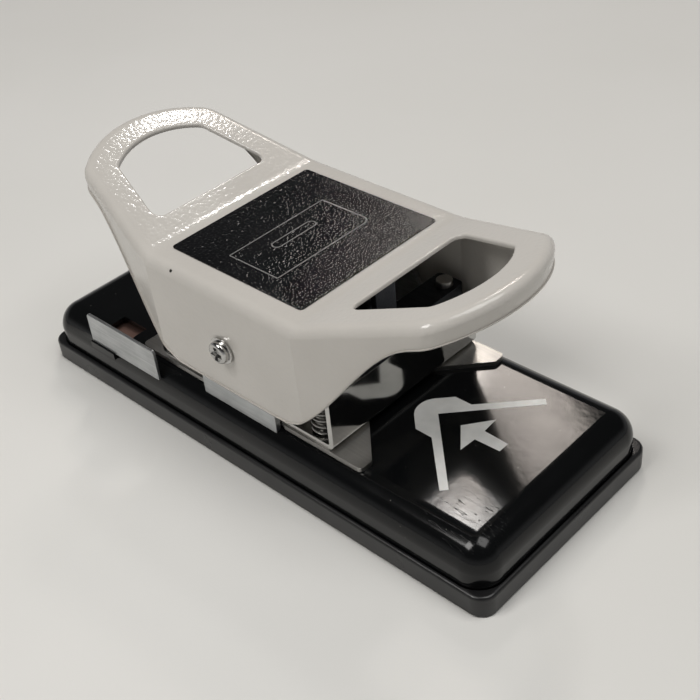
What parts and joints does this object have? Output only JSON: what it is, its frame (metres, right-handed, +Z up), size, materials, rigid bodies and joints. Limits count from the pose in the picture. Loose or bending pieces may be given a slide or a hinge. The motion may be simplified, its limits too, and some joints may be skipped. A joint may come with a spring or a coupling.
{
  "type": "corner cutter",
  "caption": "Desk rocker machine whose sprung handle drives a corner punch at one end and a slot punch at the other, on a flat base with a chip tray and a sliding side guide.",
  "frame": {"origin": "on the desk surface, under the middle of the base", "axes": "+X to the corner cutting end, +Y to the far side away from the side guide, +Z up"},
  "size_m": [0.2232, 0.091, 0.0927],
  "materials": {
    "cream_powder_coat": "hammered powder coat, satin",
    "gloss_black_paint": "gloss stove enamel",
    "dark_plastic": "matt moulded",
    "black_rubber": "matt",
    "bare_steel": "ground",
    "polished_steel": "mirror polished",
    "zinc_plate": "zinc plated, satin",
    "tool_steel": "hardened and ground",
    "bronze": "sintered",
    "label_sheet": "satin with a fine grain",
    "white_print": "screen print, satin"
  },
  "bodies": {
    "base": {"chip_tray": "dark_plastic", "rubber_feet": "black_rubber", "base_shell": "gloss_black_paint", "pivot_bracket": "zinc_plate", "bracket_nut_bar": "bare_steel", "bracket_screws": "zinc_plate", "pivot_bushes": "bronze", "corner_stop_plate": "bare_steel", "front_guide_bracket": "polished_steel", "corner_die": "tool_steel", "corner_die_screws": "zinc_plate", "corner_punch_guide": "tool_steel", "front_guide_posts": "bare_steel", "front_left_spring": "zinc_plate", "front_right_spring": "zinc_plate", "slot_stop_plate": "bare_steel", "rear_guide_bracket": "polished_steel", "slot_die": "tool_steel", "slot_die_screws": "zinc_plate", "slot_punch_guide": "tool_steel", "rear_guide_posts": "bare_steel", "rear_left_spring": "zinc_plate", "rear_right_spring": "zinc_plate", "guide_track": "zinc_plate", "guide_stop_pin": "bare_steel"},
    "rocker": {"handle_shell": "cream_powder_coat", "label_plate": "label_sheet", "pivot_shaft": "bare_steel", "pivot_screws": "zinc_plate", "front_press_bracket": "zinc_plate", "rear_press_bracket": "zinc_plate"},
    "corner_press": {"corner_crosshead": "zinc_plate", "corner_punch": "tool_steel", "corner_punch_screws": "zinc_plate"},
    "slot_press": {"slot_crosshead": "zinc_plate", "slot_punch": "tool_steel", "slot_punch_screws": "zinc_plate"},
    "side_guide_body": {"side_guide": "zinc_plate"}
  },
  "joints": [
    {"name": "handle_hinge", "type": "hinge", "parent": "base", "child": "rocker", "pos_m": [0, 0, 0.0514], "axis": [0, 1, 0], "range_deg": [-10, 10], "stiffness_Nm_per_rad": 8},
    {"name": "corner_punch_slide", "type": "slide", "parent": "base", "child": "corner_press", "axis": [0, 0, 1], "range_m": [-0.0055, 0.0055], "deforming": ["front_left_spring", "front_right_spring"]},
    {"name": "slot_punch_slide", "type": "slide", "parent": "base", "child": "slot_press", "axis": [0, 0, 1], "range_m": [-0.0055, 0.0055], "deforming": ["rear_left_spring", "rear_right_spring"]},
    {"name": "side_guide_slide", "type": "slide", "parent": "base", "child": "side_guide_body", "axis": [0, -1, 0], "range_m": [0, 0.01]}
  ],
  "couplings": [
    {"joint": "corner_punch_slide", "follows": "handle_hinge", "m_per_rad": -0.031},
    {"joint": "slot_punch_slide", "follows": "handle_hinge", "m_per_rad": 0.031}
  ]
}
